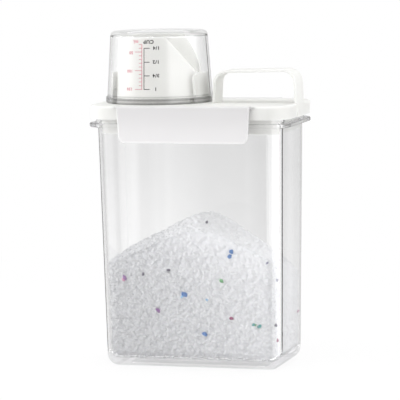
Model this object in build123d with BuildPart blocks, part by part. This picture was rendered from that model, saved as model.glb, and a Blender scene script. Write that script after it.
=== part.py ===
"""Powder detergent dispenser: a clear box with a flange and a neck, a white lid with a spout and a
strap handle, a silicone seal, two clip-on latches, a clear measuring cup upside down over the spout
and the heap of powder in the box.

Millimetres, +Z up, the front with its latch towards -Y, the spout towards -X. The origin is in the
middle of the box's footprint, on the surface that it stands on.
"""
import os
from math import cos, radians, sin

from build123d import *

# Container: a box whose walls lean outwards from the foot up to a flange
base_length = 126.8
base_depth = 68.0
base_corner = 9.0
top_length = 132.8
top_depth = 74.0
top_corner = 10.0
wall_height = 169.0
wall_thickness = 2.0
floor_thickness = 5.0
foot_round = 8.0
floor_round = 6.0
foot_ring_width = 6.0
foot_recess = 1.0

# Flange and neck of the container
flange_overhang = 5.9
flange_thickness = 2.8
flange_round = 0.8
neck_step = 1.2
neck_wall = 2.2
rim_round = 0.6

# Lid: a plate with a skirt round it and a plug below it
lid_end_overhang = 6.4
lid_side_overhang = 5.5
lid_corner = 18.0
lid_rise = 12.2
lid_edge_round = 1.6
plate_thickness = 2.2
skirt_drop = 9.4
skirt_lean = 0.5
skirt_wall = 2.0
plug_depth = 17.8
plug_wall = 1.6
plug_clearance = 0.45
plug_lead = 0.7

# Seal under the lid, on the rim of the neck
seal_thickness = 1.6
seal_gap = 0.3

# Measuring cup, upside down
cup_gap = 0.3
cup_end_gap = 5.3
cup_height = 50.0
cup_rim_radius = 37.4
cup_base_radius = 34.0
cup_wall = 1.5
cup_base_thickness = 2.4
cup_base_round = 2.8
cup_inner_round = 1.8
cup_recess_inset = 5.4
cup_recess = 0.6
cup_bead_standout = 0.6
cup_bead_height = 4.4
cup_bead_round = 0.5

# Spout: a tapered tube with a slanting mouth, that the cup covers
spout_wall = 1.8
spout_headroom = 0.9
spout_side_gap = 4.0
spout_root_round = 1.2
mouth_start = 11.5
mouth_drop = 35.7
mouth_run = 21.3
mouth_radius = 115.0
mouth_round = 0.4

# Tongues beside the spout, that the cup clicks over
tongue_thickness = 1.4
tongue_width = 34.0
tongue_rise = 21.3
tongue_corner = 4.5
tongue_gap = 3.2
tongue_clearance = 0.35
lug_rise = 9.0
lug_radius = 1.5
lug_clearance = 0.12

# Handle: a flat strap bent into an arch, whose outer leg runs down the end of the lid
handle_width = 21.0
handle_thickness = 1.9
handle_corner = 9.5
handle_edge_round = 0.6
handle_cup_gap = 2.9
handle_end_inset = 0.2
handle_lean = 1.3
handle_left_rise = 22.6
handle_right_rise = 23.8
leg_standout = 0.5

# Latches: plates that hang from pins in the long sides of the lid
latch_top_width = 95.3
latch_bottom_width = 92.0
latch_drop = 25.4
latch_thickness = 2.0
latch_standoff = 1.9
latch_corner = 5.0
latch_edge_round = 1.2
web_thickness = 1.8
web_margin = 0.3
barrel_radius = 1.4
pin_radius = 0.8
pin_reach = 2.9
pin_clearance = 0.05
pin_end_gap = 0.3
hinge_inset = 1.4
pocket_gap = 0.4
pocket_back_gap = 0.5
bar_margin = 5.2
bar_clearance = 0.4
bead_inset = 9.0
bead_height = 3.0
bead_drop = 0.4
bead_clearance = 0.2

# Powder: the lie of its top across the front, the ridge and the back. Each has its height at the
# left wall, its points (x, z) between the walls and its height at the right wall.
powder_clearance = 0.3
ridge_y = -4.0
powder_front = (69, [(-41, 79), (-20, 88), (4, 94), (24, 91), (49, 81)], 73)
powder_ridge = (70, [(-41, 87), (-20, 97), (4, 106.6), (24, 99), (49, 82)], 66)
powder_back = (60, [(-41, 72), (-20, 80), (4, 86), (24, 79), (49, 66)], 54)

# Sizes that follow
flange_length = top_length + 2 * flange_overhang
flange_depth = top_depth + 2 * flange_overhang
flange_top = wall_height + flange_thickness
neck_length = top_length + 2 * neck_step
neck_depth = top_depth + 2 * neck_step
neck_corner = top_corner + neck_step
lid_length = top_length + 2 * lid_end_overhang
lid_depth = top_depth + 2 * lid_side_overhang
lid_top = flange_top + lid_rise
plate_bottom = lid_top - plate_thickness
rim_height = plate_bottom - seal_thickness - 2 * seal_gap
skirt_bottom = lid_top - skirt_drop
skirt_inset = skirt_lean + skirt_wall
plug_bottom = plate_bottom - plug_depth
plug_inset = wall_thickness + plug_clearance
cup_rim = lid_top + cup_gap
cup_top = cup_rim + cup_height
cup_floor = cup_top - cup_base_thickness
cup_bead_radius = max(cup_rim_radius, cup_base_radius) + cup_bead_standout
spout_x = cup_bead_radius + cup_end_gap - lid_length / 2
spout_plane = Plane(origin=(spout_x, 0, 0), x_dir=(1, 0, 0), z_dir=(0, -1, 0))
spout_axis = Axis((spout_x, 0, 0), (0, 0, 1))
spout_top = cup_floor - spout_headroom
spout_top_radius = cup_base_radius - cup_wall - spout_side_gap
spout_base_radius = cup_rim_radius - cup_wall - tongue_clearance - tongue_thickness - tongue_gap
tongue_top = lid_top + tongue_rise
lug_height = lid_top + lug_rise
handle_left = spout_x + cup_bead_radius + handle_cup_gap
handle_right = lid_length / 2 - handle_end_inset
hinge_y = lid_depth / 2 - hinge_inset
hinge_z = lid_top - barrel_radius
barrel_length = latch_top_width - 2 * web_margin
pocket_length = barrel_length + 2 * pocket_gap
pocket_back = hinge_y - barrel_radius - pocket_back_gap
pocket_floor = hinge_z - barrel_radius - pocket_gap
bar_length = barrel_length + 2 * bar_margin
bar_inner = neck_depth / 2 + bar_clearance
bar_outer = lid_depth / 2 - skirt_lean - skirt_wall / 2
latch_back = lid_depth / 2 + latch_standoff
latch_bottom = lid_top - latch_drop
bead_length = latch_bottom_width - 2 * bead_inset
bead_top = wall_height - bead_drop
bead_tip = flange_depth / 2 + bead_clearance


def leaning(low, high, height):
    """A size of the leaning walls at this height, from its sizes at the foot and at the flange."""
    return low + (high - low) * height / wall_height


def wall_outline(height, inset, mode=Mode.ADD):
    """Draws the outline of the container's walls at this height, moved inwards by the inset."""
    RectangleRounded(
        leaning(base_length, top_length, height) - 2 * inset,
        leaning(base_depth, top_depth, height) - 2 * inset,
        leaning(base_corner, top_corner, height) - inset,
        mode=mode,
    )


def cup_outer(height):
    """Outer radius of the cup's wall at this height."""
    return cup_rim_radius + (cup_base_radius - cup_rim_radius) * (height - cup_rim) / cup_height


def cup_inner(height):
    """Inner radius of the cup's wall at this height."""
    return cup_outer(height) - cup_wall


def flat_edges(part, height):
    """The edges of a part that lie flat at this height."""
    return part.edges().filter_by_position(Axis.Z, height - 0.01, height + 0.01)


# Container, with the flange first so that its edges are rounded all the way
with BuildPart() as container:
    with BuildSketch(Plane.XY.offset(wall_height)):
        RectangleRounded(flange_length, flange_depth, top_corner + flange_overhang)
    extrude(amount=flange_thickness)
    fillet(container.faces().filter_by(Axis.Z).edges(), flange_round)
    with BuildSketch(Plane.XY):
        wall_outline(0, 0)
    with BuildSketch(Plane.XY.offset(wall_height)):
        wall_outline(wall_height, 0)
    loft(ruled=True)
    fillet(flat_edges(container, 0), foot_round)
    with BuildSketch(Plane.XY.offset(flange_top)):
        RectangleRounded(neck_length, neck_depth, neck_corner)
    extrude(amount=rim_height - flange_top)
    with BuildSketch(Plane.XY.offset(floor_thickness)):
        wall_outline(floor_thickness, wall_thickness)
    with BuildSketch(Plane.XY.offset(wall_height)):
        wall_outline(wall_height, wall_thickness)
    loft(ruled=True, mode=Mode.SUBTRACT)
    with BuildSketch(Plane.XY.offset(wall_height)):
        RectangleRounded(neck_length - 2 * neck_wall, neck_depth - 2 * neck_wall, neck_corner - neck_wall)
    extrude(amount=rim_height - wall_height, mode=Mode.SUBTRACT)
    fillet(flat_edges(container, floor_thickness), floor_round)
    fillet(flat_edges(container, rim_height), rim_round)
    foot_inset = foot_round + foot_ring_width
    with BuildSketch(Plane.XY):
        RectangleRounded(base_length - 2 * foot_inset, base_depth - 2 * foot_inset, foot_ring_width)
    extrude(amount=foot_recess, mode=Mode.SUBTRACT)
container.part.label = "container"

# Powder, filling the box below a hill that is lofted from the front to the back
with BuildPart() as powder_heap:
    inset = wall_thickness + powder_clearance
    bottom = floor_thickness + powder_clearance
    with BuildSketch(Plane.XY.offset(bottom)):
        wall_outline(bottom, inset)
    with BuildSketch(Plane.XY.offset(wall_height)):
        wall_outline(wall_height, inset)
    loft(ruled=True)
    fillet(flat_edges(powder_heap, bottom), floor_round)
    edge = top_length / 2 + wall_thickness
    for y, (left, middle, right) in (
        (-top_depth / 2, powder_front), (ridge_y, powder_ridge), (top_depth / 2, powder_back)
    ):
        with BuildSketch(Plane.XZ.offset(-y)):
            with BuildLine():
                Spline((-edge, left), *middle, (edge, right))
                Polyline((edge, right), (edge, 0), (-edge, 0), (-edge, left))
            make_face()
    loft(mode=Mode.INTERSECT)
powder_heap.part.label = "powder_heap"

# Seal, a flat ring between the lid's plate and the rim, round the plug
with BuildPart() as lid_seal:
    with BuildSketch(Plane.XY.offset(rim_height + seal_gap)):
        RectangleRounded(neck_length, neck_depth, neck_corner)
        wall_outline(plug_bottom, plug_inset - seal_gap, Mode.SUBTRACT)
    extrude(amount=seal_thickness)
lid_seal.part.label = "lid_seal"

# Snap tongues: two arcs of a tapered ring with rounded corners, each with a lug on its outside
with BuildPart() as tongues:
    with BuildSketch(spout_plane):
        with BuildLine():
            low = cup_inner(lid_top) - tongue_clearance
            high = cup_inner(tongue_top) - tongue_clearance
            Polyline(
                (low - tongue_thickness, plate_bottom),
                (low, plate_bottom),
                (low, lid_top),
                (high, tongue_top),
                (high - tongue_thickness, tongue_top),
                (low - tongue_thickness, lid_top),
                close=True,
            )
        make_face()
    revolve(axis=spout_axis)
    with BuildSketch(Plane.YZ.offset(spout_x)) as front:
        with Locations((0, plate_bottom)):
            Rectangle(tongue_width, tongue_top - plate_bottom, align=(Align.CENTER, Align.MIN))
        fillet(front.vertices().group_by(Axis.Y)[-1], tongue_corner)
    extrude(amount=cup_rim_radius, both=True, mode=Mode.INTERSECT)
    lug_reach = cup_inner(lug_height) - lug_clearance - lug_radius
    with Locations((spout_x - lug_reach, 0, lug_height), (spout_x + lug_reach, 0, lug_height)):
        Sphere(lug_radius)

# Handle: the strap follows an arch, and its outer leg goes on down the end of the lid
with BuildPart() as handle:
    with BuildSketch(Plane.XZ.offset(-handle_width / 2)) as arch:
        with BuildLine():
            Polyline(
                (handle_left, lid_top - handle_thickness),
                (handle_left + handle_lean, lid_top + handle_left_rise),
                (handle_right - handle_lean, lid_top + handle_right_rise),
                (handle_right, lid_top - handle_thickness),
                close=True,
            )
        make_face()
        fillet(arch.vertices().sort_by(Axis.Y)[-2:], handle_corner)
        offset(amount=-handle_thickness, mode=Mode.SUBTRACT)
    extrude(amount=handle_width)
    fillet(handle.faces().sort_by(Axis.Y)[0].edges() + handle.faces().sort_by(Axis.Y)[-1].edges(),
           handle_edge_round)

# Lid
with BuildPart() as lid:
    with BuildSketch(Plane.XY.offset(skirt_bottom)):
        RectangleRounded(lid_length - 2 * skirt_lean, lid_depth - 2 * skirt_lean, lid_corner - skirt_lean)
    with BuildSketch(Plane.XY.offset(lid_top)):
        RectangleRounded(lid_length, lid_depth, lid_corner)
    loft(ruled=True)
    fillet(flat_edges(lid, lid_top), lid_edge_round)
    with BuildSketch(Plane.XY.offset(skirt_bottom)):
        RectangleRounded(lid_length - 2 * skirt_inset, lid_depth - 2 * skirt_inset, lid_corner - skirt_inset)
    extrude(amount=skirt_drop - plate_thickness, mode=Mode.SUBTRACT)
    with BuildSketch(Plane.XY.offset(skirt_bottom)):
        with Locations((0, (bar_inner + bar_outer) / 2), (0, -(bar_inner + bar_outer) / 2)):
            Rectangle(bar_length, bar_outer - bar_inner)
    extrude(amount=skirt_drop - plate_thickness)
    with BuildSketch(Plane.XY.offset(plug_bottom)):
        wall_outline(plug_bottom, plug_inset)
    extrude(amount=plug_depth)
    chamfer(lid.faces().sort_by(Axis.Z)[0].edges(), plug_lead)
    with BuildSketch(Plane.XY.offset(plug_bottom)):
        wall_outline(plug_bottom, plug_inset + plug_wall)
    extrude(amount=plug_depth, mode=Mode.SUBTRACT)
    with BuildSketch(spout_plane):
        with BuildLine():
            Polyline((0, plate_bottom), (spout_base_radius, plate_bottom), (spout_base_radius, lid_top),
                     (spout_top_radius, spout_top), (0, spout_top), close=True)
        make_face()
    revolve(axis=spout_axis)
    root = flat_edges(lid, lid_top).filter_by(GeomType.CIRCLE).filter_by(
        lambda edge: abs(edge.radius - spout_base_radius) < lid_edge_round)
    fillet(root, spout_root_round)
    with BuildSketch(spout_plane):
        with BuildLine():
            Polyline((0, plate_bottom), (spout_base_radius - spout_wall, plate_bottom),
                     (spout_base_radius - spout_wall, lid_top), (spout_top_radius - spout_wall, spout_top),
                     (0, spout_top), close=True)
        make_face()
    revolve(axis=spout_axis, mode=Mode.SUBTRACT)
    with BuildSketch(spout_plane):
        with BuildLine():
            slope = mouth_drop / mouth_run
            beyond = max(spout_base_radius, spout_top_radius) + spout_wall
            lip = (beyond, spout_top - slope * (beyond - mouth_start))
            above = (mouth_start - spout_wall / slope, spout_top + spout_wall)
            RadiusArc((mouth_start, spout_top), lip, mouth_radius)
            Polyline(lip, (beyond, above[1]), above, (mouth_start, spout_top))
        make_face()
    extrude(amount=beyond, both=True, mode=Mode.SUBTRACT)
    fillet(lid.edges(Select.LAST).filter_by(GeomType.LINE, reverse=True), mouth_round)
    add(tongues.part)
    add(handle.part)
    with BuildSketch(Plane.XZ.offset(-handle_width / 2)):
        with BuildLine():
            Polyline((handle_right - handle_thickness, lid_top), (handle_right, lid_top),
                     (lid_length / 2 + leg_standout, skirt_bottom),
                     (lid_length / 2 - skirt_lean - skirt_wall / 2, skirt_bottom), close=True)
        make_face()
    extrude(amount=handle_width)
    for side in (-1, 1):
        with BuildSketch(Plane.XY.offset(pocket_floor)):
            with Locations((0, side * pocket_back)):
                Rectangle(pocket_length, lid_depth, align=(Align.CENTER, Align.MAX if side < 0 else Align.MIN))
        extrude(amount=lid_depth, mode=Mode.SUBTRACT)
        with BuildSketch(Plane.YZ):
            with Locations((side * hinge_y, hinge_z)):
                Circle(pin_radius + pin_clearance)
        extrude(amount=barrel_length / 2 + pin_reach + pin_end_gap, both=True, mode=Mode.SUBTRACT)
lid.part.label = "lid"

# Front latch: a plate with softened edges, the web and barrel it hangs from, its pins and its bead
with BuildPart() as front_latch:
    with BuildSketch(Plane.XZ.offset(latch_back)) as plate:
        with BuildLine():
            Polyline((-latch_top_width / 2, lid_top), (latch_top_width / 2, lid_top),
                     (latch_bottom_width / 2, latch_bottom), (-latch_bottom_width / 2, latch_bottom), close=True)
        make_face()
        fillet(plate.vertices().group_by(Axis.Y)[0], latch_corner)
    extrude(amount=latch_thickness)
    fillet(front_latch.faces().sort_by(Axis.Y)[0].edges(), latch_edge_round)
    with BuildSketch(Plane.YZ):
        with Locations((-hinge_y, hinge_z)):
            Circle(barrel_radius)
        with Locations((-hinge_y, lid_top)):
            Rectangle(latch_back - hinge_y, web_thickness, align=(Align.MAX, Align.MAX))
    extrude(amount=barrel_length / 2, both=True)
    with BuildSketch(Plane.YZ):
        with Locations((-hinge_y, hinge_z)):
            Circle(pin_radius)
    extrude(amount=barrel_length / 2 + pin_reach, both=True)
    with BuildSketch(Plane.YZ):
        with BuildLine():
            ThreePointArc((-latch_back, bead_top), (-bead_tip, bead_top - bead_height / 2),
                          (-latch_back, bead_top - bead_height))
            Line((-latch_back, bead_top - bead_height), (-latch_back, bead_top))
        make_face()
    extrude(amount=bead_length / 2, both=True)
front_latch.part.label = "front_latch"

# Rear latch, the same moulding turned round
with BuildPart() as rear_latch:
    add(front_latch.part, rotation=(0, 0, 180))
rear_latch.part.label = "rear_latch"

# Measuring cup, mouth down
with BuildPart() as measuring_cup:
    with BuildSketch(spout_plane):
        with BuildLine():
            Polyline((0, cup_rim), (cup_rim_radius, cup_rim), (cup_base_radius, cup_top), (0, cup_top), close=True)
        make_face()
    revolve(axis=spout_axis)
    fillet(flat_edges(measuring_cup, cup_top), cup_base_round)
    with BuildSketch(Plane.XY.offset(cup_rim)):
        with Locations((spout_x, 0)):
            Circle(cup_bead_radius)
    extrude(amount=cup_bead_height)
    fillet(flat_edges(measuring_cup, cup_rim) + flat_edges(measuring_cup, cup_rim + cup_bead_height).sort_by(
        SortBy.RADIUS)[-1:], cup_bead_round)
    with BuildSketch(spout_plane) as inside:
        with BuildLine():
            Polyline((0, cup_rim), (cup_inner(cup_rim), cup_rim), (cup_inner(cup_floor), cup_floor),
                     (0, cup_floor), close=True)
        make_face()
        fillet(inside.vertices().group_by(Axis.Y)[-1].sort_by(Axis.X)[-1], cup_inner_round)
    revolve(axis=spout_axis, mode=Mode.SUBTRACT)
    with BuildSketch(Plane.XY.offset(cup_top)):
        with Locations((spout_x, 0)):
            Circle(cup_base_radius - cup_recess_inset)
    extrude(amount=-cup_recess, mode=Mode.SUBTRACT)
measuring_cup.part.label = "measuring_cup"

os.makedirs("parts", exist_ok=True)
for piece in (container, powder_heap, lid, lid_seal, front_latch, rear_latch, measuring_cup):
    export_step(piece.part, f"parts/{piece.part.label}.step")
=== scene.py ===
"""Looks of the powder detergent dispenser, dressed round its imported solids.

A clear box with a heap of white granules, a white lid with a spout and a strap handle, two white
latches, and a clear measuring cup with a printed scale, upside down over the spout. +Z is up and the
front is towards -Y. Sizes whose names end in _mm are in millimetres, and those of the lamps, the floor
and the camera's sight are in metres.
"""

import logging
import math
import random
from collections.abc import Mapping, Sequence
from dataclasses import dataclass
from enum import Enum

import bmesh
import bpy
import numpy as np
from mathutils import Matrix, Vector, noise
from mathutils.bvhtree import BVHTree


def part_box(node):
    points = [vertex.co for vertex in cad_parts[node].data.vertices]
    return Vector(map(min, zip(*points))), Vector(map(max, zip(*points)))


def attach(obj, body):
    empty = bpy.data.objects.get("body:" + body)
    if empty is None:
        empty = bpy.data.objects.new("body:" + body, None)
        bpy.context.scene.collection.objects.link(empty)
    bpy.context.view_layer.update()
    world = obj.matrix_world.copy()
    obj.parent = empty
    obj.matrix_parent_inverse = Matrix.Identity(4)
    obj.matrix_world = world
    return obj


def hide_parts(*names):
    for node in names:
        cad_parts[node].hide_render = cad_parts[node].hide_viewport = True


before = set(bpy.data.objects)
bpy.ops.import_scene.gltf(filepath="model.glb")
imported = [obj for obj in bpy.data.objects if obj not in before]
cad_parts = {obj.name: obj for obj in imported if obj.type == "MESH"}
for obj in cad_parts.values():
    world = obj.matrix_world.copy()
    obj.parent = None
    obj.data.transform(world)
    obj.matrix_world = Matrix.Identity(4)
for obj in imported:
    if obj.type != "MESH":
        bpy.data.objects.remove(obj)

MM = 0.001
Rgb = tuple[float, float, float]
Range = tuple[float, float]
Colour = Rgb | bpy.types.NodeSocket
BLACK: Rgb = (0.0, 0.0, 0.0)
WHITE: Rgb = (1.0, 1.0, 1.0)
log = logging.getLogger("dispenser")


class Body(Enum):
    """The moving bodies that added pieces ride on."""

    BASE = "base"
    CUP = "cup"


class Slot(Enum):
    """The record's material slots that added pieces take their finish from."""

    POWDER = "powder"
    CUP = "clear_cup"


class Axis(Enum):
    """An axis of the shared frame."""

    X = "X"
    Y = "Y"
    Z = "Z"


class Ray(Enum):
    """The kinds of rays that light is followed by."""

    CAMERA = "Is Camera Ray"
    SHADOW = "Is Shadow Ray"
    DIFFUSE = "Is Diffuse Ray"
    GLOSSY = "Is Glossy Ray"
    TRANSMISSION = "Is Transmission Ray"


@dataclass(frozen=True)
class Signal:
    """A number that varies over a surface: a node's socket, with arithmetic on it."""

    graph: "Graph"
    socket: bpy.types.NodeSocket

    def math(self, operation: str, *values: "Signal | float") -> "Signal":
        """Adds a Math node with these inputs, this signal among them."""
        return self.graph.signal("ShaderNodeMath", {"operation": operation}, dict(enumerate(values)))

    def __add__(self, other: "Signal | float") -> "Signal":
        """Sum."""
        return self.math("ADD", self, other)

    __radd__ = __add__

    def __mul__(self, other: "Signal | float") -> "Signal":
        """Product."""
        return self.math("MULTIPLY", self, other)

    __rmul__ = __mul__

    def __sub__(self, other: "Signal | float") -> "Signal":
        """Difference."""
        return self.math("SUBTRACT", self, other)

    def __rsub__(self, other: "Signal | float") -> "Signal":
        """Difference, the other way round."""
        return self.math("SUBTRACT", other, self)

    def most(self, other: "Signal | float") -> "Signal":
        """The larger of the two."""
        return self.math("MAXIMUM", self, other)

    def least(self, other: "Signal | float") -> "Signal":
        """The smaller of the two."""
        return self.math("MINIMUM", self, other)

    def size(self) -> "Signal":
        """The value without its sign."""
        return self.math("ABSOLUTE", self)

    def between(self, low: float, high: float) -> "Signal":
        """Rises smoothly from 0 at low to 1 at high.

        Args:
            low: where the result starts to rise.
            high: where the result reaches 1.

        Returns:
            The result, from 0 to 1.
        """
        return self.graph.signal(
            "ShaderNodeMapRange",
            {"interpolation_type": "SMOOTHSTEP"},
            {"Value": self, "From Min": low, "From Max": high},
            "Result",
        )


class Graph:
    """A tree of shader nodes, with one method that adds any node."""

    def __init__(self, tree: bpy.types.NodeTree) -> None:
        """Takes a tree over and empties it."""
        self.tree = tree
        tree.nodes.clear()

    def node(
        self,
        kind: str,
        settings: Mapping[str, object] | None = None,
        inputs: Mapping[str | int, object] | None = None,
    ) -> bpy.types.Node:
        """Adds a node.

        Args:
            kind: the node's type.
            settings: its properties. The key "stops" holds a ramp's list of (position, colour).
            inputs: values or links for its sockets, by name or number.

        Returns:
            The new node.
        """
        node = self.tree.nodes.new(kind)
        for name, value in (settings or {}).items():
            if name == "stops":
                self._set_stops(node.color_ramp, value)
            else:
                setattr(node, name, value)
        for key, value in (inputs or {}).items():
            self.feed(node.inputs[key], value)
        return node

    @staticmethod
    def _set_stops(ramp: bpy.types.ColorRamp, stops: Sequence[tuple[float, tuple[float, ...]]]) -> None:
        """Sets a ramp's stops.

        Args:
            ramp: the ramp, with the two stops of a new one.
            stops: each one's position and its colour with alpha.
        """
        ramp.elements[0].position = stops[0][0]
        ramp.elements[1].position = stops[-1][0]
        for position, _ in stops[1:-1]:
            ramp.elements.new(position)
        for element, (_, colour) in zip(ramp.elements, stops):
            element.color = colour

    def feed(self, socket: bpy.types.NodeSocket, value: object) -> None:
        """Links a signal or another node's socket to a socket, or sets its value.

        Args:
            socket: the socket to feed.
            value: what goes in. A colour may leave its alpha out.
        """
        if isinstance(value, Signal):
            value = value.socket
        if isinstance(value, bpy.types.NodeSocket):
            self.tree.links.new(value, socket)
        elif isinstance(value, tuple) and len(value) == 3 and socket.type == "RGBA":
            socket.default_value = (*value, 1.0)
        else:
            socket.default_value = value

    def signal(
        self,
        kind: str,
        settings: Mapping[str, object],
        inputs: Mapping[str | int, object],
        output: str | int = 0,
    ) -> Signal:
        """Adds a node and gives one of its outputs, by name or number, as a signal."""
        return Signal(self, self.node(kind, settings, inputs).outputs[output])

    def rays(self, *kinds: Ray) -> Signal:
        """Tells rays apart.

        Args:
            kinds: the kinds to look for.

        Returns:
            1 for rays of these kinds, 0 for others.
        """
        light = self.node("ShaderNodeLightPath")
        found, *others = (Signal(self, light.outputs[kind.value]) for kind in kinds)
        for other in others:
            found = found.most(other)
        return found

    def place(self, scale_per_mm: float = 1.0) -> bpy.types.NodeSocket:
        """Gives object coordinates in millimetres times a scale.

        Args:
            scale_per_mm: the scale.

        Returns:
            The scaled place's socket.
        """
        point = self.node("ShaderNodeTexCoord").outputs["Object"]
        scaled = self.node(
            "ShaderNodeVectorMath", {"operation": "SCALE"}, {0: point, "Scale": scale_per_mm / MM}
        )
        return scaled.outputs[0]

    def axis(self, axis: Axis) -> Signal:
        """One object coordinate in millimetres."""
        return self.signal("ShaderNodeSeparateXYZ", {}, {0: self.place()}, axis.value)

    def noise(self, period_mm: float, detail: float = 2.0, roughness: float = 0.5) -> Signal:
        """Gives smooth noise.

        Args:
            period_mm: about how long its waves are.
            detail: how many finer waves lie on them.
            roughness: how strong the finer waves are.

        Returns:
            The noise, from 0 to 1.
        """
        place = self.place(1.0 / period_mm)
        inputs = {"Vector": place, "Scale": 1.0, "Detail": detail, "Roughness": roughness}
        return self.signal("ShaderNodeTexNoise", {}, inputs, "Fac")

    def grains(self, size_mm: float) -> Signal:
        """The distance to the middle of the nearest grain, in grain sizes."""
        inputs = {"Vector": self.place(1.0 / size_mm), "Scale": 1.0}
        return self.signal("ShaderNodeTexVoronoi", {}, inputs, "Distance")

    def tint(self, factor: "Signal | float", low: Colour, high: Colour) -> bpy.types.NodeSocket:
        """Mixes two colours.

        Args:
            factor: 0 for the low colour, 1 for the high one.
            low: linear RGB, or another node's colour.
            high: the same.

        Returns:
            The mixed colour's socket.
        """
        mix = self.node("ShaderNodeMix", {"data_type": "RGBA"}, {0: factor})
        self.feed(mix.inputs[6], low)
        self.feed(mix.inputs[7], high)
        return mix.outputs[2]

    def bump(self, height: Signal, depth_mm: float) -> bpy.types.NodeSocket:
        """A normal bent by a height that runs from 0 to 1 over this many millimetres."""
        inputs = {"Strength": 1.0, "Distance": depth_mm * MM, "Height": height}
        return self.node("ShaderNodeBump", {}, inputs).outputs["Normal"]

    def principled(self, inputs: Mapping[str, object]) -> bpy.types.NodeSocket:
        """Adds a Principled shader with these inputs."""
        return self.node("ShaderNodeBsdfPrincipled", {}, inputs).outputs[0]

    def blend(
        self, factor: Signal, low: bpy.types.NodeSocket, high: bpy.types.NodeSocket
    ) -> bpy.types.NodeSocket:
        """Mixes two shaders: 0 for the low one, 1 for the high one."""
        return self.node("ShaderNodeMixShader", {}, {0: factor, 1: low, 2: high}).outputs[0]


@dataclass(frozen=True)
class Shading:
    """Brightness that changes along one axis, as stops of (millimetres, brightness)."""

    axis: Axis
    stops: tuple[tuple[float, float], ...]

    def signal(self, graph: Graph) -> Signal:
        """Builds the brightness.

        Args:
            graph: the material's graph.

        Returns:
            The brightness.
        """
        first = self.stops[0][0]
        span = self.stops[-1][0] - first
        stops = [((at - first) / span, (level, level, level, 1.0)) for at, level in self.stops]
        along = (graph.axis(self.axis) - first) * (1.0 / span)
        return graph.signal("ShaderNodeValToRGB", {"stops": stops}, {0: along})


@dataclass(frozen=True)
class Finish:
    """A material. Each kind of finish builds its own surface."""

    name: str

    def surface(self, graph: Graph) -> bpy.types.NodeSocket:
        """The surface's shader, which each kind of finish builds in its own way."""
        raise NotImplementedError

    def volume(self, graph: Graph) -> bpy.types.NodeSocket | None:
        """The shader of what fills the piece, where light goes in."""
        return None

    def material(self) -> bpy.types.Material:
        """Builds the material.

        Returns:
            The new material.
        """
        material = bpy.data.materials.new(self.name)
        material.use_nodes = True
        graph = Graph(material.node_tree)
        inputs = {"Surface": self.surface(graph)}
        filling = self.volume(graph)
        if filling is not None:
            inputs["Volume"] = filling
        graph.node("ShaderNodeOutputMaterial", {}, inputs)
        return material


@dataclass(frozen=True, kw_only=True)
class ClearPlastic(Finish):
    """Polished clear styrene plastic, with painted shade that makes it greyer where it's seen edge-on.

    Part of the light passes unbent in places, where thick edges would otherwise look too dark.
    """

    unbent: Shading
    outline: Range
    edge_on_painted_shade: float
    smoke: Rgb
    smoke_per_m: float
    ior: float = 1.5
    roughness: float = 0.02
    roughness_spread: float = 0.02
    roughness_mm: float = 18.0
    mottle: float = 0.03
    mottle_mm: float = 30.0
    wave_mm: float = 22.0
    wave_depth_mm: float = 0.015
    unbent_tint: Rgb = (0.99, 0.99, 0.99)

    def brightness(self, graph: Graph) -> Signal:
        """The painted shade on one wall, by place."""
        raise NotImplementedError

    def surface(self, graph: Graph) -> bpy.types.NodeSocket:
        """Builds the surface.

        Args:
            graph: the material's graph.

        Returns:
            The shader's socket.
        """
        turned = graph.signal("ShaderNodeLayerWeight", {}, {"Blend": 0.5}, "Facing")
        # The brightness by place is painted shade, which each kind of clear plastic lays on in its own
        # way.
        shade = self.brightness(graph) + self.mottle * (graph.noise(self.mottle_mm) - 0.5)
        # Painted shade: the colour turns greyer where the surface is seen edge-on.
        shade = shade * (1.0 - self.edge_on_painted_shade * turned.between(*self.outline))
        body = graph.principled({
            "Base Color": graph.tint(shade, BLACK, WHITE),
            "Roughness": self.roughness + self.roughness_spread * graph.noise(self.roughness_mm),
            "IOR": self.ior,
            "Transmission Weight": 1.0,
            "Normal": graph.bump(graph.noise(self.wave_mm, 1.0), self.wave_depth_mm),
        })
        clear = graph.node("ShaderNodeBsdfTransparent", {}, {"Color": self.unbent_tint})
        passing = graph.rays(Ray.SHADOW, Ray.DIFFUSE).most(self.unbent.signal(graph))
        return graph.blend(passing, body, clear.outputs[0])

    def volume(self, graph: Graph) -> bpy.types.NodeSocket:
        """The shader of the faint smoke in the plastic."""
        inputs = {"Color": self.smoke, "Density": self.smoke_per_m}
        return graph.node("ShaderNodeVolumeAbsorption", {}, inputs).outputs[0]


@dataclass(frozen=True, kw_only=True)
class BoxPlastic(ClearPlastic):
    """The box's clear plastic, with painted shade in soft streaks on its rear and side walls and a
    little towards its top.
    """

    rear: Shading
    left: Shading
    right: Shading
    upward: Shading
    rear_y_mm: Range = (20.0, 28.0)
    left_x_mm: Range = (55.5, 59.0)
    right_x_mm: Range = (58.5, 61.2)
    lean: float = 3.0 / 169.0

    def brightness(self, graph: Graph) -> Signal:
        """Builds the painted shade on the walls, by place.

        Args:
            graph: the material's graph.

        Returns:
            The painted shade, from 0 to 1, where 1 leaves the colour as it is.
        """
        across = graph.axis(Axis.X)
        lean = self.lean * graph.axis(Axis.Z)
        on_rear = graph.axis(Axis.Y).between(*self.rear_y_mm)
        on_left = (-1.0 * across - lean).between(*self.left_x_mm)
        on_right = (across - lean).between(*self.right_x_mm)
        # Painted shade: darker towards the top, and in soft streaks on the rear and side walls.
        shade = self.upward.signal(graph)
        for wall, place in ((self.rear, on_rear), (self.left, on_left), (self.right, on_right)):
            shade = shade * (1.0 - (1.0 - wall.signal(graph)) * place)
        return shade


@dataclass(frozen=True, kw_only=True)
class CupPlastic(ClearPlastic):
    """The cup's clear plastic, with painted shade in dark bands round its thick rim."""

    rim_painted_shade: Shading

    def brightness(self, graph: Graph) -> Signal:
        """The painted shade in bands round the rim, by height."""
        return self.rim_painted_shade.signal(graph)


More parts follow.
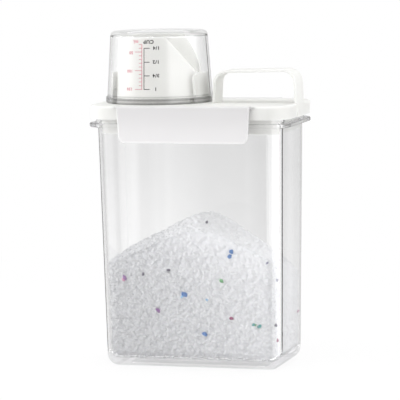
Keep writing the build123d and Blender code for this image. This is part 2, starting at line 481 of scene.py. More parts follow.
@dataclass(frozen=True, kw_only=True)
class SatinPlastic(Finish):
    """Satin white polypropylene with the faint grain of the mould."""

    roughness: float = 0.38
    roughness_spread: float = 0.1
    roughness_mm: float = 9.0
    ior: float = 1.49
    grain_mm: float = 0.6
    grain_detail: float = 3.0
    grain_roughness: float = 0.6
    grain_depth_mm: float = 0.008

    def satin(self, graph: Graph, colour: bpy.types.NodeSocket) -> dict[str, object]:
        """Gives what both white plastics feed to their shader.

        Args:
            graph: the material's graph.
            colour: the plastic's colour.

        Returns:
            Values and links for the Principled shader's sockets, by name.
        """
        grain = graph.noise(self.grain_mm, self.grain_detail, self.grain_roughness)
        return {
            "Base Color": colour,
            "Roughness": self.roughness + self.roughness_spread * graph.noise(self.roughness_mm),
            "IOR": self.ior,
            "Normal": graph.bump(grain, self.grain_depth_mm),
        }


@dataclass(frozen=True)
class LidPlastic(SatinPlastic):
    """The lid's white plastic, which lets light glow a little way into it."""

    low: Rgb
    high: Rgb
    mottle_mm: float = 30.0
    mottle: Range = (0.3, 0.7)
    milky: float = 0.9
    milky_mm: float = 2.5

    def surface(self, graph: Graph) -> bpy.types.NodeSocket:
        """Builds the surface.

        Args:
            graph: the material's graph.

        Returns:
            The shader's socket.
        """
        colour = graph.tint(graph.noise(self.mottle_mm).between(*self.mottle), self.low, self.high)
        return graph.principled({
            **self.satin(graph, colour),
            "Subsurface Weight": self.milky,
            "Subsurface Scale": self.milky_mm * MM,
            "Subsurface Radius": WHITE,
        })


@dataclass(frozen=True)
class LatchPlastic(SatinPlastic):
    """White plastic of a plate, with painted highlights along its sides and its lower edge and painted
    light over its lower part.
    """

    middle_x_mm: float
    half_width_mm: float
    foot_z_mm: float
    middle: Rgb = (0.7, 0.69, 0.695)
    # Painted highlight: the colour along the sides and the lower edge.
    rim: Rgb = (0.87, 0.86, 0.865)
    rim_mm: float = 1.4
    rim_edge_mm: float = 0.4
    # Painted light: how much paler the lower part of the plate is.
    painted_low_light: float = 0.55
    low_part_mm: float = 24.0
    mottle: float = 0.1
    mottle_mm: float = 20.0

    def surface(self, graph: Graph) -> bpy.types.NodeSocket:
        """Builds the surface.

        Args:
            graph: the material's graph.

        Returns:
            The shader's socket.
        """
        upward = graph.axis(Axis.Z)
        side_rim = self.half_width_mm - self.rim_mm
        foot_rim = self.foot_z_mm + self.rim_mm
        from_middle = (graph.axis(Axis.X) - self.middle_x_mm).size()
        # Painted highlight along the sides and the lower edge, and painted light over the lower part.
        side = from_middle.between(side_rim - self.rim_edge_mm, side_rim)
        foot = 1.0 - upward.between(foot_rim, foot_rim + self.rim_edge_mm)
        painted_low_light = 1.0 - upward.between(self.foot_z_mm, self.foot_z_mm + self.low_part_mm)
        soft = self.painted_low_light * painted_low_light + self.mottle * graph.noise(self.mottle_mm)
        colour = graph.tint(side.most(foot).most(soft), self.middle, self.rim)
        return graph.principled(self.satin(graph, colour))


@dataclass(frozen=True)
class Silicone(Finish):
    """Soft milky silicone."""

    name: str = "milky_silicone"
    low: Rgb = (0.78, 0.79, 0.8)
    high: Rgb = (0.88, 0.88, 0.88)
    mottle_mm: float = 5.0
    roughness: float = 0.45
    roughness_spread: float = 0.15
    roughness_mm: float = 2.0
    clear: float = 0.25
    grain_mm: float = 0.8
    grain_depth_mm: float = 0.01

    def surface(self, graph: Graph) -> bpy.types.NodeSocket:
        """Builds the surface.

        Args:
            graph: the material's graph.

        Returns:
            The shader's socket.
        """
        return graph.principled({
            "Base Color": graph.tint(graph.noise(self.mottle_mm), self.low, self.high),
            "Roughness": self.roughness + self.roughness_spread * graph.noise(self.roughness_mm),
            "Transmission Weight": self.clear,
            "Normal": graph.bump(graph.noise(self.grain_mm), self.grain_depth_mm),
        })


@dataclass(frozen=True)
class Powder(Finish):
    """White granules, with painted shade in the gaps between them and painted light that leaves them
    greyer towards the foot and the left.
    """

    name: str = "white_granules"
    # Painted shade: the colour in the gaps between grains.
    gap_shade: Rgb = (0.79, 0.795, 0.83)
    top: Rgb = (0.975, 0.98, 0.998)
    grain_mm: float = 2.3
    gap_edge: Range = (0.3, 0.75)
    gap_share: float = 0.42
    fine_mm: float = 1.1
    fine_edge: Range = (0.4, 0.7)
    fine_share: float = 0.25
    patch_mm: float = 9.0
    patch_edge: Range = (0.35, 0.65)
    patch_share: float = 0.1
    # Painted light: brighter towards the right and the top, greyer towards the foot and the left;
    # painted shade at the front right corner.
    across: Shading = Shading(Axis.X, (
        (-62.0, 0.72), (-20.0, 0.8), (0.0, 0.84), (30.0, 0.89), (59.5, 0.93), (60.5, 1.06),
        (64.0, 1.06),
    ))
    upward: Shading = Shading(Axis.Z, (
        (0.0, 0.95), (20.0, 0.955), (60.0, 0.99), (80.0, 1.04), (105.0, 1.13),
    ))
    corner_x_mm: Range = (53.0, 57.0)
    corner_y_mm: Range = (20.0, 26.0)
    corner_painted_shade: float = 0.06
    quiet: float = 0.6
    quiet_edge: Range = (0.8, 0.98)
    roughness: float = 0.8
    roughness_spread: float = 0.15
    bump_mm: float = 1.5

    def surface(self, graph: Graph) -> bpy.types.NodeSocket:
        """Builds the surface.

        Args:
            graph: the material's graph.

        Returns:
            The shader's socket.
        """
        # Painted shade in the gaps, and painted light by place; where the painted light is bright, the
        # gaps are shaded less.
        gaps = graph.grains(self.grain_mm).between(*self.gap_edge)
        fine = graph.noise(self.fine_mm).between(*self.fine_edge)
        patch = graph.noise(self.patch_mm).between(*self.patch_edge)
        at_right = graph.axis(Axis.X).between(*self.corner_x_mm)
        in_front = (-1.0 * graph.axis(Axis.Y)).between(*self.corner_y_mm)
        light = (self.across.signal(graph) * self.upward.signal(graph)).least(1.0)
        light = light * (1.0 - self.corner_painted_shade * (at_right * in_front))
        contrast = 1.0 - self.quiet * light.between(*self.quiet_edge)
        dark = self.gap_share * gaps + self.fine_share * fine + self.patch_share * patch
        grainy = graph.tint(1.0 - contrast * dark, self.gap_shade, self.top)
        return graph.principled({
            "Base Color": graph.tint(light, BLACK, grainy),
            "Roughness": self.roughness + self.roughness_spread * gaps,
            "Normal": graph.bump(contrast * (1.0 - graph.grains(self.grain_mm)), self.bump_mm),
        })


@dataclass(frozen=True)
class DyedGranule(Finish):
    """A coloured granule, mottled as pressed powder is."""

    colour: Rgb
    paler: float = 0.3
    mottle_mm: float = 0.5
    mottle: Range = (0.45, 0.8)
    roughness: float = 0.6
    roughness_spread: float = 0.2
    roughness_mm: float = 0.7
    grain_mm: float = 0.4
    grain_depth_mm: float = 0.1

    def surface(self, graph: Graph) -> bpy.types.NodeSocket:
        """Builds the surface.

        Args:
            graph: the material's graph.

        Returns:
            The shader's socket.
        """
        pale = tuple((1.0 - self.paler) * part + self.paler for part in self.colour)
        mottled = graph.noise(self.mottle_mm).between(*self.mottle)
        return graph.principled({
            "Base Color": graph.tint(mottled, self.colour, pale),
            "Roughness": self.roughness + self.roughness_spread * graph.noise(self.roughness_mm),
            "Normal": graph.bump(graph.noise(self.grain_mm), self.grain_depth_mm),
        })


@dataclass(frozen=True)
class Ink(Finish):
    """Screen-printed ink, thin in places."""

    colour: Rgb
    thin_gain: float = 1.6
    thin_lift: float = 0.02
    mottle_mm: float = 0.8
    mottle_detail: float = 3.0
    mottle: Range = (0.5, 0.8)
    roughness: float = 0.45
    roughness_spread: float = 0.1
    roughness_mm: float = 1.5

    def surface(self, graph: Graph) -> bpy.types.NodeSocket:
        """Builds the surface.

        Args:
            graph: the material's graph.

        Returns:
            The shader's socket.
        """
        thin = tuple(min(1.0, self.thin_gain * part + self.thin_lift) for part in self.colour)
        worn = graph.noise(self.mottle_mm, self.mottle_detail).between(*self.mottle)
        return graph.principled({
            "Base Color": graph.tint(worn, self.colour, thin),
            "Roughness": self.roughness + self.roughness_spread * graph.noise(self.roughness_mm),
        })


@dataclass(frozen=True)
class PaleFloor(Finish):
    """A matte floor that looks white to the camera, and wholly so far from the object."""

    name: str = "pale_floor"
    low: Rgb = (0.9, 0.9, 0.9)
    high: Rgb = (0.93, 0.93, 0.93)
    mottle_mm: float = 60.0
    near_white: float = 0.87
    far_mm: Range = (150.0, 600.0)

    def surface(self, graph: Graph) -> bpy.types.NodeSocket:
        """Builds the surface.

        Args:
            graph: the material's graph.

        Returns:
            The shader's socket.
        """
        colour = graph.tint(graph.noise(self.mottle_mm), self.low, self.high)
        matte = graph.node("ShaderNodeBsdfDiffuse", {}, {"Color": colour})
        glow = graph.node("ShaderNodeEmission", {}, {"Color": WHITE, "Strength": 1.0})
        place = graph.place()
        reach = graph.signal("ShaderNodeVectorMath", {"operation": "LENGTH"}, {0: place}, "Value")
        white = self.near_white + (1.0 - self.near_white) * reach.between(*self.far_mm)
        seen = graph.rays(Ray.CAMERA, Ray.TRANSMISSION)
        return graph.blend(seen * white, matte.outputs[0], glow.outputs[0])


def size_in_mm(node: str) -> tuple[Vector, Vector]:
    """A solid's lowest and highest corner, in millimetres."""
    low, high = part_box(node)
    return low / MM, high / MM


def dress_node(node: str, material: bpy.types.Material) -> None:
    """Gives a solid its material.

    Args:
        node: the solid's name.
        material: the material for all its faces.
    """
    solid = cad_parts[node]
    if not solid.material_slots:
        solid.data.materials.append(material)
    for slot in solid.material_slots:
        slot.link = "OBJECT"
        slot.material = material


def add_piece(name: str, mesh: bpy.types.Mesh, body: Body) -> bpy.types.Object:
    """Adds a smooth piece that rides on a body.

    Args:
        name: the piece's name.
        mesh: its mesh, with its material.
        body: the body that it rides on.

    Returns:
        The new piece.
    """
    mesh.shade_smooth()
    piece = bpy.data.objects.new(name, mesh)
    bpy.context.scene.collection.objects.link(piece)
    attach(piece, body.value)
    log.info("added %s with %d faces", name, len(mesh.polygons))
    return piece


class Surface:
    """Corners in metres and faces that grow into one mesh."""

    def __init__(self) -> None:
        """Starts with nothing."""
        self.points: list[Vector] = []
        self.faces: list[tuple[int, ...]] = []

    def add(self, points: Sequence[Vector], faces: Sequence[Sequence[int]]) -> None:
        """Adds a shape.

        Args:
            points: its corners in metres.
            faces: the numbers of its own corners, one list for each face.
        """
        start = len(self.points)
        self.points += points
        self.faces += [tuple(start + corner for corner in face) for face in faces]

    def mesh(self, name: str, finish: Finish) -> bpy.types.Mesh:
        """Makes the mesh.

        Args:
            name: its name.
            finish: its finish.

        Returns:
            The new mesh.
        """
        mesh = bpy.data.meshes.new(name)
        mesh.from_pydata([tuple(point) for point in self.points], [], self.faces)
        mesh.update()
        mesh.materials.append(finish.material())
        return mesh


@dataclass
class ClearContainer:
    """The box of clear plastic."""

    node: str = "container"
    plastic: BoxPlastic = BoxPlastic(
        name="clear_box_plastic",
        # Painted shade: these stops darken the walls' colour in streaks and towards the top.
        rear=Shading(Axis.X, (
            (-64.0, 1.0), (-60.0, 1.0), (-57.5, 0.94), (-55.0, 0.9), (-50.0, 0.89), (-44.0, 0.94),
            (-35.0, 0.94), (-28.0, 0.91), (-6.0, 0.835), (20.0, 0.82), (24.0, 0.83), (33.0, 0.79),
            (37.0, 0.79), (39.5, 1.0), (62.0, 1.0),
        )),
        left=Shading(Axis.Y, (
            (-40.0, 0.7), (-30.0, 0.7), (-25.0, 0.95), (-6.0, 0.98), (1.0, 0.88), (6.0, 0.85),
            (11.0, 0.95), (16.0, 0.98), (26.0, 0.96), (31.0, 1.0), (40.0, 1.0),
        )),
        right=Shading(Axis.Y, (
            (-40.0, 1.0), (-28.0, 1.0), (-24.0, 0.93), (-16.0, 0.94), (-9.0, 1.0), (0.0, 1.0),
            (6.0, 0.95), (14.0, 0.93), (22.0, 0.93), (27.0, 0.8), (40.0, 0.8),
        )),
        upward=Shading(Axis.Z, ((0.0, 1.0), (90.0, 1.0), (150.0, 0.945), (182.0, 0.945))),
        unbent=Shading(Axis.Z, (
            (0.0, 0.8), (9.5, 0.8), (11.5, 0.0), (167.5, 0.0), (168.5, 0.25), (172.0, 0.25),
            (173.0, 0.0), (182.0, 0.0),
        )),
        outline=(0.7, 0.95),
        edge_on_painted_shade=0.06,
        smoke=(0.55, 0.52, 0.64),
        smoke_per_m=4.0,
    )

    def build(self) -> None:
        """Dresses the solid."""
        dress_node(self.node, self.plastic.material())


class Dye(Enum):
    """The colours of the dyed granules, as linear RGB."""

    BLUE = (0.09, 0.21, 0.48)
    SKY = (0.3, 0.53, 0.76)
    VIOLET = (0.28, 0.14, 0.33)
    SLATE = (0.14, 0.13, 0.17)
    GREEN = (0.18, 0.42, 0.2)
    TEAL = (0.1, 0.34, 0.33)
    MAROON = (0.32, 0.08, 0.17)
    PINK = (0.62, 0.3, 0.45)
    GREY = (0.32, 0.32, 0.4)


@dataclass(frozen=True)
class Speck:
    """A dyed granule at the surface of the heap."""

    x_mm: float
    y_mm: float
    z_mm: float
    size_mm: float
    dye: Dye


@dataclass
class DyedGranules:
    """The dyed granules: lumpy pressed balls, one piece for each colour."""

    growth: float = 1.35
    form: tuple[float, float, float] = (1.15, 0.8, 0.6)
    subdivisions: int = 3
    lump: float = 0.45
    lumps_across: float = 2.6
    sink_mm: float = 0.15
    full_turn: float = 6.28
    seed_span: float = 50.0
    seed: int = 29
    hidden: int = 26
    hidden_up: Range = (0.08, 0.6)
    hidden_size_mm: Range = (1.4, 2.8)
    left_every: int = 4
    left_reach: float = 0.8
    rear_reach: float = 0.9
    shown: tuple[Speck, ...] = (
        Speck(-47.9, -32.8, 62.7, 2.6, Dye.VIOLET),
        Speck(-49.0, -32.8, 61.6, 1.8, Dye.PINK),
        Speck(-23.3, -32.4, 40.6, 2.4, Dye.VIOLET),
        Speck(-33.8, -32.9, 65.9, 1.7, Dye.SLATE),
        Speck(-16.0, -32.9, 68.4, 1.8, Dye.SLATE),
        Speck(9.7, -21.8, 102.2, 1.7, Dye.SLATE),
        Speck(-4.0, -32.6, 51.9, 3.2, Dye.BLUE),
        Speck(-5.8, -32.6, 50.8, 1.6, Dye.SKY),
        Speck(30.4, -33.1, 82.6, 2.6, Dye.BLUE),
        Speck(29.0, -33.1, 79.8, 2.5, Dye.BLUE),
        Speck(10.5, -32.1, 24.6, 2.5, Dye.BLUE),
        Speck(11.4, -32.6, 48.6, 1.4, Dye.SKY),
        Speck(22.2, -32.8, 62.2, 2.2, Dye.GREEN),
        Speck(44.3, -32.3, 31.9, 1.7, Dye.TEAL),
        Speck(49.5, -32.2, 30.6, 2.1, Dye.TEAL),
        Speck(46.8, -32.2, 31.5, 1.2, Dye.GREEN),
        Speck(29.4, -32.3, 36.4, 2.0, Dye.MAROON),
        Speck(61.1, -27.6, 21.1, 1.7, Dye.MAROON),
        Speck(60.8, -28.7, 31.1, 1.7, Dye.SLATE),
        Speck(61.3, -29.1, 63.3, 1.5, Dye.GREY),
        Speck(55.2, -33.1, 76.2, 1.5, Dye.GREY),
        Speck(61.7, 23.7, 33.0, 1.8, Dye.PINK),
    )

    def build(self, tree: BVHTree, node: str) -> None:
        """Makes the granules.

        Args:
            tree: the heap's surface, in millimetres.
            node: the heap's solid.
        """
        chance = random.Random(self.seed)
        specks = list(self.shown) + self._hidden(node, chance)
        for dye in Dye:
            name = f"granules_{dye.name.lower()}"
            surface = Surface()
            for speck in specks:
                if speck.dye is dye:
                    self._add(speck, surface, tree, chance)
            mesh = surface.mesh(name, DyedGranule(f"dyed_{name}", dye.value))
            add_piece(name, mesh, Body.BASE)

    def _hidden(self, node: str, chance: random.Random) -> list[Speck]:
        """Strews granules on the rear and the left side, which the photograph doesn't show.

        Args:
            node: the heap's solid.
            chance: the random draws.

        Returns:
            The specks.
        """
        low, high = size_in_mm(node)
        specks = []
        for number in range(self.hidden):
            up = chance.uniform(*self.hidden_up) * (high.z - low.z) + low.z
            size = chance.uniform(*self.hidden_size_mm)
            dye = chance.choice(list(Dye))
            if number % self.left_every == 0:
                y = chance.uniform(self.left_reach, -self.left_reach) * high.y
                specks.append(Speck(low.x, y, up, size, dye))
            else:
                x = chance.uniform(self.rear_reach, -self.rear_reach) * high.x
                specks.append(Speck(x, high.y, up, size, dye))
        return specks

    def _add(self, speck: Speck, surface: Surface, tree: BVHTree, chance: random.Random) -> None:
        """Adds one granule, sunk into the surface of the heap.

        Args:
            speck: where it is.
            surface: the piece that it is added to.
            tree: the heap's surface, in millimetres.
            chance: the random draws.
        """
        place, normal, _, _ = tree.find_nearest(Vector((speck.x_mm, speck.y_mm, speck.z_mm)))
        spin = Matrix.Rotation(chance.uniform(0, self.full_turn), 3, "Z")
        turn = normal.to_track_quat("Z", "Y").to_matrix() @ spin
        seed = Vector((chance.uniform(0, self.seed_span), 0, 0))
        ball = bmesh.new()
        bmesh.ops.create_icosphere(ball, subdivisions=self.subdivisions, radius=0.5)
        points = []
        for corner in ball.verts:
            lump = 1.0 + self.lump * noise.noise(corner.co * self.lumps_across + seed)
            pressed = corner.co * Vector(self.form)
            grown = pressed * (self.growth * speck.size_mm * lump)
            points.append((place + turn @ grown - self.sink_mm * normal) * MM)
        surface.add(points, [[corner.index for corner in face.verts] for face in ball.faces])
        ball.free()


@dataclass
class PowderHeap:
    """The heap of granules, as one grainy surface with dyed granules in it."""

    node: str = "powder_heap"
    powder: Powder = Powder()
    voxel_mm: float = 0.85
    grain_mm: float = 2.6
    grain_depth_mm: float = 1.0
    lump_mm: float = 3.9
    lump_depth_mm: float = 1.0
    gap_reach: float = 0.75
    drift_mm: float = 13.0
    drift_depth_mm: float = 1.6
    top_lift_mm: float = 1.7

    def build(self) -> None:
        """Makes the grainy surface and the dyed granules in it."""
        mesh = self._grainy_mesh()
        piece = add_piece("white_powder", mesh, Body.BASE)
        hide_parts(self.node)
        tree = BVHTree.FromPolygons(
            [corner.co / MM for corner in mesh.vertices],
            [tuple(face.vertices) for face in mesh.polygons],
        )
        DyedGranules().build(tree, self.node)

    def _grainy_mesh(self) -> bpy.types.Mesh:
        """Remeshes the solid finely and presses the gaps between grains into it.

        Returns:
            The mesh, which stands for the solid.
        """
        rough = bpy.data.objects.new("rough_heap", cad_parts[self.node].data.copy())
        bpy.context.scene.collection.objects.link(rough)
        remesh = rough.modifiers.new("fine", "REMESH")
        remesh.mode = "VOXEL"
        remesh.voxel_size = self.voxel_mm * MM
        shape = rough.evaluated_get(bpy.context.evaluated_depsgraph_get())
        fine = bpy.data.meshes.new_from_object(shape)
        bpy.data.objects.remove(rough)
        count = len(fine.vertices)
        points = np.empty(count * 3)
        normals = np.empty(count * 3)
        fine.vertices.foreach_get("co", points)
        fine.vertex_normals.foreach_get("vector", normals)
        points = points.reshape(-1, 3)
        normals = normals.reshape(-1, 3)
        facing_up = np.clip(normals[:, 2], 0.0, 1.0)
        sink = np.array([self._sink_mm(Vector(at), up) for at, up in zip(points / MM, facing_up)]) * MM
        points -= normals * sink[:, None]
        fine.vertices.foreach_set("co", points.ravel())
        fine.update()
        fine.materials.clear()
        fine.materials.append(self.powder.material())
        return fine

    def _sink_mm(self, point: Vector, facing_up: float) -> float:
        """Works out how far the surface lies below the heap's outline at a point.

        Args:
            point: the place, in millimetres.
            facing_up: 1 on top of the heap, 0 on its walls.

        Returns:
            The depth in millimetres.
        """
        sizes = (self.grain_mm, self.lump_mm)
        grain, lump = (
            min(1.0, (noise.voronoi(point / size)[0][0] / self.gap_reach) ** 2) for size in sizes
        )
        wave = 0.5 + 0.5 * noise.noise(point / self.drift_mm)
        drift = self.drift_depth_mm * wave - self.top_lift_mm
        return self.grain_depth_mm * grain + self.lump_depth_mm * lump + drift * facing_up


@dataclass
class WhiteLid:
    """The lid with its spout, tongues and handle, and the seal under it."""

    plastic: LidPlastic = LidPlastic("white_lid_plastic", (0.79, 0.79, 0.77), (0.83, 0.83, 0.81))
    silicone: Silicone = Silicone()

    def build(self) -> None:
        """Dresses the two solids."""
        dress_node("lid", self.plastic.material())
        dress_node("lid_seal", self.silicone.material())


@dataclass
class Latches:
    """The two clip plates."""

    nodes: tuple[str, ...] = ("front_latch", "rear_latch")

    def build(self) -> None:
        """Dresses both solids."""
        for node in self.nodes:
            low, high = size_in_mm(node)
            middle = (low.x + high.x) / 2
            plastic = LatchPlastic(f"white_{node}_plastic", middle, high.x - middle, low.z)
            dress_node(node, plastic.material())


@dataclass
class MeasuringCup:
    """The clear cup."""

    node: str = "measuring_cup"
    plastic: CupPlastic = CupPlastic(
        name="clear_cup_plastic",
        # Painted shade: dark bands round the thick rim, by height.
        rim_painted_shade=Shading(Axis.Z, (
            (184.0, 0.3), (185.3, 0.34), (186.0, 0.55), (186.8, 0.52), (187.4, 0.3), (188.0, 0.42),
            (188.8, 0.9), (189.5, 0.6), (190.2, 0.93), (191.5, 0.97), (235.0, 0.97),
        )),
        unbent=Shading(Axis.Z, ((184.0, 0.0), (230.5, 0.0), (231.5, 0.8), (235.0, 0.8))),
        outline=(0.35, 0.6),
        edge_on_painted_shade=0.16,
        smoke=(0.6, 0.6, 0.58),
        smoke_per_m=2.0,
    )

    def build(self) -> None:
        """Dresses the solid."""
        dress_node(self.node, self.plastic.material())


@dataclass(frozen=True)
class CupWall:
    """The cup's leaning outer wall, just outside which ink lies."""

    middle_x_mm: float
    rim_z_mm: float
    height_mm: float
    rim_radius_mm: float
    lean_mm: float
    film_mm: float

    def place(self, round_mm: float, z_mm: float) -> Vector:
        """Gives a place on the ink.

        Args:
            round_mm: the way round the wall from the front.
            z_mm: the height.

        Returns:
            The place, in metres.
        """
        radius = self.rim_radius_mm - self.lean_mm * (z_mm - self.rim_z_mm) / self.height_mm
        angle = round_mm / radius
        out = radius + self.film_mm
        return Vector((self.middle_x_mm + out * math.sin(angle), -out * math.cos(angle), z_mm)) * MM


@dataclass(frozen=True)
class Mark:
    """A printed bar, by its sides round the cup and its lower and upper edge."""

    left_mm: float
    low_mm: float
    right_mm: float
    high_mm: float


@dataclass(frozen=True)
class Label:
    """A printed word or number, by its middle round the cup and up, and its height."""

    words: str
    round_mm: float
    z_mm: float
    height_mm: float


@dataclass
class CupScale:
    """The scale printed on the cup, which reads the right way up when the cup stands on its base."""

    node: str = "measuring_cup"
    bead_mm: float = 0.6
    lean_mm: float = 3.4
    film_mm: float = 0.06
    step_mm: float = 0.8
    line_mm: float = 0.5
    black_line_mm: float = -0.3
    red_line_mm: float = -1.9
    black_tick_mm: float = 4.0
    red_tick_mm: float = 2.2
    red_tick_thin: float = 0.8
    long_tick_mm: float = 5.3
    long_tick_every: int = 5
    top_mark_mm: float = 195.3
    first_red_mm: float = 226.2
    red_step_mm: float = 2.575
    red_steps: int = 12
    quarters_mm: tuple[float, ...] = (223.6, 214.0, 204.6, 195.3)
    letter_space: float = 1.2
    letter_weight: float = 0.045
    black_ink: Ink = Ink("black_ink", (0.006, 0.005, 0.006))
    red_ink: Ink = Ink("red_ink", (0.56, 0.23, 0.27))
    black_labels: tuple[Label, ...] = (
        Label("CUP", 2.9, 227.9, 2.5),
        Label("1/4", 8.4, 223.6, 2.3),
        Label("1/2", 8.2, 214.0, 2.3),
        Label("3/4", 8.2, 204.6, 2.3),
        Label("1", 8.0, 195.3, 2.3),
    )
    red_labels: tuple[Label, ...] = (
        Label("mL", -6.5, 227.9, 2.1),
        Label("50", -10.2, 220.4, 2.0),
        Label("100", -11.2, 207.7, 2.0),
        Label("150", -11.4, 195.3, 2.0),
    )

    def build(self) -> None:
        """Prints the black scale and the red one."""
        low, high = size_in_mm(self.node)
        rim_radius = (high.x - low.x) / 2 - self.bead_mm
        wall = CupWall(
            (low.x + high.x) / 2, low.z, high.z - low.z, rim_radius, self.lean_mm, self.film_mm
        )
        self._print("scale_black", wall, self.black_ink, self._black_marks(), self.black_labels)
        self._print("scale_red", wall, self.red_ink, self._red_marks(), self.red_labels)

    def _black_marks(self) -> list[Mark]:
        """Lays out the long line and the quarter marks.

        Returns:
            The marks.
        """
        half = self.line_mm / 2
        start = self.black_line_mm
        marks = [Mark(start - half, self.top_mark_mm - half, start + half, self.quarters_mm[0])]
        for z in self.quarters_mm:
            marks.append(Mark(start, z - half, start + self.black_tick_mm, z + half))
        return marks

    def _red_marks(self) -> list[Mark]:
        """Lays out the long line and the marks at equal steps, some of them longer.

        Returns:
            The marks.
        """
        half = self.line_mm / 2
        thin = half * self.red_tick_thin
        start = self.red_line_mm
        marks = [Mark(start - half, self.top_mark_mm - half, start + half, self.first_red_mm)]
        for step in range(self.red_steps + 1):
            z = self.top_mark_mm + step * self.red_step_mm
            reach = self.long_tick_mm if step % self.long_tick_every == 0 else self.red_tick_mm
            marks.append(Mark(start - reach, z - thin, start, z + thin))
        return marks

    def _print(
        self, name: str, wall: CupWall, ink: Ink, marks: Sequence[Mark], labels: Sequence[Label]
    ) -> None:
        """Prints marks and labels in one ink.

        Args:
            name: the piece's name.
            wall: the cup's wall.
            ink: the ink.
            marks: the bars.
            labels: the words and numbers.
        """
        surface = Surface()
        for mark in marks:
            self._add_mark(mark, surface, wall)
        for label in labels:
            self._add_label(label, surface, wall)
        add_piece(name, surface.mesh(name, ink), Body.CUP)

    def _add_mark(self, mark: Mark, surface: Surface, wall: CupWall) -> None:
        """Adds a bar that follows the wall in short steps.

        Args:
            mark: the bar.
            surface: the piece that it is added to.
            wall: the cup's wall.
        """
        width = mark.right_mm - mark.left_mm
        steps = max(1, math.ceil(width / self.step_mm))
        points = []
        for step in range(steps + 1):
            at = mark.left_mm + width * step / steps
            points += [wall.place(at, mark.low_mm), wall.place(at, mark.high_mm)]
        firsts = range(0, 2 * steps, 2)
        surface.add(points, [(first, first + 2, first + 3, first + 1) for first in firsts])

    def _add_label(self, label: Label, surface: Surface, wall: CupWall) -> None:
        """Adds a label's letters, turned upside down as the cup is.

        Args:
            label: the label.
            surface: the piece that it is added to.
            wall: the cup's wall.
        """
        curve = bpy.data.curves.new("letters", "FONT")
        curve.body = label.words
        curve.align_x = "CENTER"
        curve.size = 1.0
        curve.space_character = self.letter_space
        curve.offset = self.letter_weight
        holder = bpy.data.objects.new("letters", curve)
        bpy.context.scene.collection.objects.link(holder)
        shape = holder.evaluated_get(bpy.context.evaluated_depsgraph_get())
        flat = bpy.data.meshes.new_from_object(shape)
        tall = max(corner.co.y for corner in flat.vertices)
        points = []
        for corner in flat.vertices:
            across = corner.co.x / tall * label.height_mm
            up = (corner.co.y / tall - 0.5) * label.height_mm
            points.append(wall.place(label.round_mm - across, label.z_mm - up))
        surface.add(points, [list(face.vertices) for face in flat.polygons])
        bpy.data.objects.remove(holder)


@dataclass(frozen=True)
class Softbox:
    """A large soft lamp that faces the object, by its bearing from the front."""

    name: str
    bearing_deg: float
    height: float
    distance: float
    wide: float
    tall: float
    brightness: float
    aim_height: float = 0.11

    def build(self) -> None:
        """Hangs the lamp."""
        data = bpy.data.lights.new(self.name, "AREA")
        data.shape = "RECTANGLE"
        data.size = self.wide
        data.size_y = self.tall
        data.energy = self.brightness * math.pi * self.wide * self.tall
        lamp = bpy.data.objects.new(self.name, data)
        lamp.visible_glossy = False
        lamp.visible_transmission = False
        bearing = math.radians(self.bearing_deg)
        level = self.distance * Vector((math.sin(bearing), -math.cos(bearing), 0.0))
        lamp.location = level + Vector((0.0, 0.0, self.height))
        aim = Vector((0.0, 0.0, self.aim_height)) - lamp.location
        lamp.rotation_euler = aim.to_track_quat("-Z", "Y").to_euler()
        bpy.context.scene.collection.objects.link(lamp)


@dataclass(frozen=True)
class Panel:
    """A bright panel that only reflections show, by its bearing from the front."""

    bearing_deg: float
    half_width_deg: float
    soft_edge_deg: float
    brightness: float

    def glow(self, bearing: Signal) -> Signal:
        """Builds the panel's brightness, which falls off softly past its edges.

        Args:
            bearing: where one looks, in degrees from the front.

        Returns:
            The brightness.
        """
        off = (bearing - self.bearing_deg).size()
        past = off.between(self.half_width_deg, self.half_width_deg + self.soft_edge_deg)
        return self.brightness * (1.0 - past)


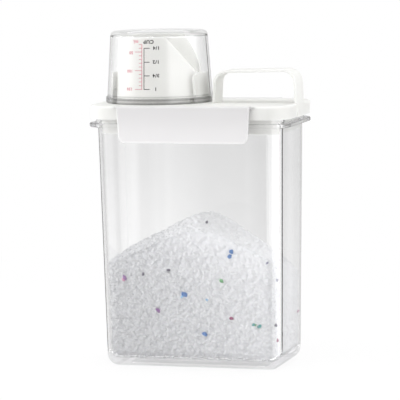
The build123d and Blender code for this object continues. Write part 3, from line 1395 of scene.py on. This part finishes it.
@dataclass
class Studio:
    """Camera, floor, lit room and lamps."""

    azimuth_deg: float = 16.297
    elevation_deg: float = 6.234
    roll_deg: float = -0.988
    distance_mm: float = 1852.2
    target_mm: tuple[float, float, float] = (-1.53, 0.0, 114.73)
    focal_px: float = 2626.5
    image_px: float = 400.0
    sensor_mm: float = 36.0
    sight: float = 50.0
    floor_half: float = 6.0
    room_light: float = 0.5
    backdrop_light: float = 1.0
    backdrop_edge: Range = (-0.1, 0.8)
    dark_room: float = 0.45
    softboxes: tuple[Softbox, ...] = (
        Softbox("right_softbox", 90.0, 0.4, 1.2, 1.1, 0.6, 1.95),
        Softbox("fill_softbox", -35.0, 0.4, 1.3, 0.8, 0.6, 1.4),
        Softbox("left_softbox", -70.0, 0.4, 1.2, 0.9, 0.6, 3.1),
        Softbox("overhead_softbox", -10.0, 1.3, 0.2, 1.4, 1.4, 1.5),
    )
    panels: tuple[Panel, ...] = (
        Panel(74.0, 26.0, 22.0, 3.5),
        Panel(-80.0, 20.0, 30.0, 1.5),
    )

    def build(self) -> None:
        """Sets the camera, the floor, the room and the lamps up."""
        self._camera()
        self._floor()
        self._room()
        self._let_light_bounce()
        for softbox in self.softboxes:
            softbox.build()

    def _camera(self) -> None:
        """Places the camera at the photograph's viewpoint."""
        azimuth = math.radians(self.azimuth_deg)
        elevation = math.radians(self.elevation_deg)
        roll = math.radians(self.roll_deg)
        back = Vector((
            math.sin(azimuth) * math.cos(elevation),
            -math.cos(azimuth) * math.cos(elevation),
            math.sin(elevation),
        ))
        level = Vector((math.cos(azimuth), math.sin(azimuth), 0.0))
        upward = back.cross(level)
        right = math.cos(roll) * level + math.sin(roll) * upward
        up = math.cos(roll) * upward - math.sin(roll) * level
        data = bpy.data.cameras.new("camera")
        data.sensor_width = self.sensor_mm
        data.lens = self.focal_px / self.image_px * self.sensor_mm
        data.clip_end = self.sight
        camera = bpy.data.objects.new("camera", data)
        place = (Vector(self.target_mm) + self.distance_mm * back) * MM
        turn = Matrix((right, up, back)).transposed().to_4x4()
        camera.matrix_world = Matrix.Translation(place) @ turn
        bpy.context.scene.collection.objects.link(camera)
        bpy.context.scene.camera = camera

    def _let_light_bounce(self) -> None:
        """Follows light further than usual: thick clear edges and white slots send it on many times."""
        cycles = bpy.context.scene.cycles
        cycles.max_bounces = 24
        cycles.transmission_bounces = 24
        cycles.diffuse_bounces = 10
        cycles.glossy_bounces = 16

    def _floor(self) -> None:
        """Lays the floor, which keeps the object's shadow and isn't reflected."""
        half = self.floor_half
        surface = Surface()
        corners = ((-half, -half), (half, -half), (half, half), (-half, half))
        surface.add([Vector((*corner, 0.0)) for corner in corners], [(0, 1, 2, 3)])
        floor = bpy.data.objects.new("floor", surface.mesh("floor", PaleFloor()))
        bpy.context.scene.collection.objects.link(floor)
        floor.visible_glossy = False

    def _room(self) -> None:
        """Lights the scene softly from all round, with a white backdrop and panels to reflect."""
        world = bpy.data.worlds.new("studio")
        bpy.context.scene.world = world
        world.use_nodes = True
        graph = Graph(world.node_tree)
        direction = graph.node("ShaderNodeTexCoord").outputs["Generated"]
        parts = graph.node("ShaderNodeSeparateXYZ", {}, {0: direction})
        sideways = Signal(graph, parts.outputs["X"])
        backward = Signal(graph, parts.outputs["Y"])
        bearing = sideways.math("ARCTAN2", sideways, -1.0 * backward) * (180.0 / math.pi)
        reflection = sum((panel.glow(bearing) for panel in self.panels), start=self.dark_room)
        behind = backward.between(*self.backdrop_edge)
        room = self.room_light + (self.backdrop_light - self.room_light) * behind
        unseen = room + graph.rays(Ray.GLOSSY) * (reflection - room)
        seen = graph.rays(Ray.CAMERA, Ray.TRANSMISSION)
        strength = seen + (1.0 - seen) * unseen
        background = graph.node("ShaderNodeBackground", {}, {"Color": WHITE, "Strength": strength})
        graph.node("ShaderNodeOutputWorld", {}, {0: background.outputs[0]})


def main() -> None:
    """Builds every sub-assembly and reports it."""
    logging.basicConfig(level=logging.INFO, format="%(message)s")
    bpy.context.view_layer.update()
    bpy.context.scene.view_settings.view_transform = "Standard"
    for kind in (ClearContainer, PowderHeap, WhiteLid, Latches, MeasuringCup, CupScale, Studio):
        kind().build()
        log.info("built %s", kind.__name__)


if __name__ == "__main__":
    main()
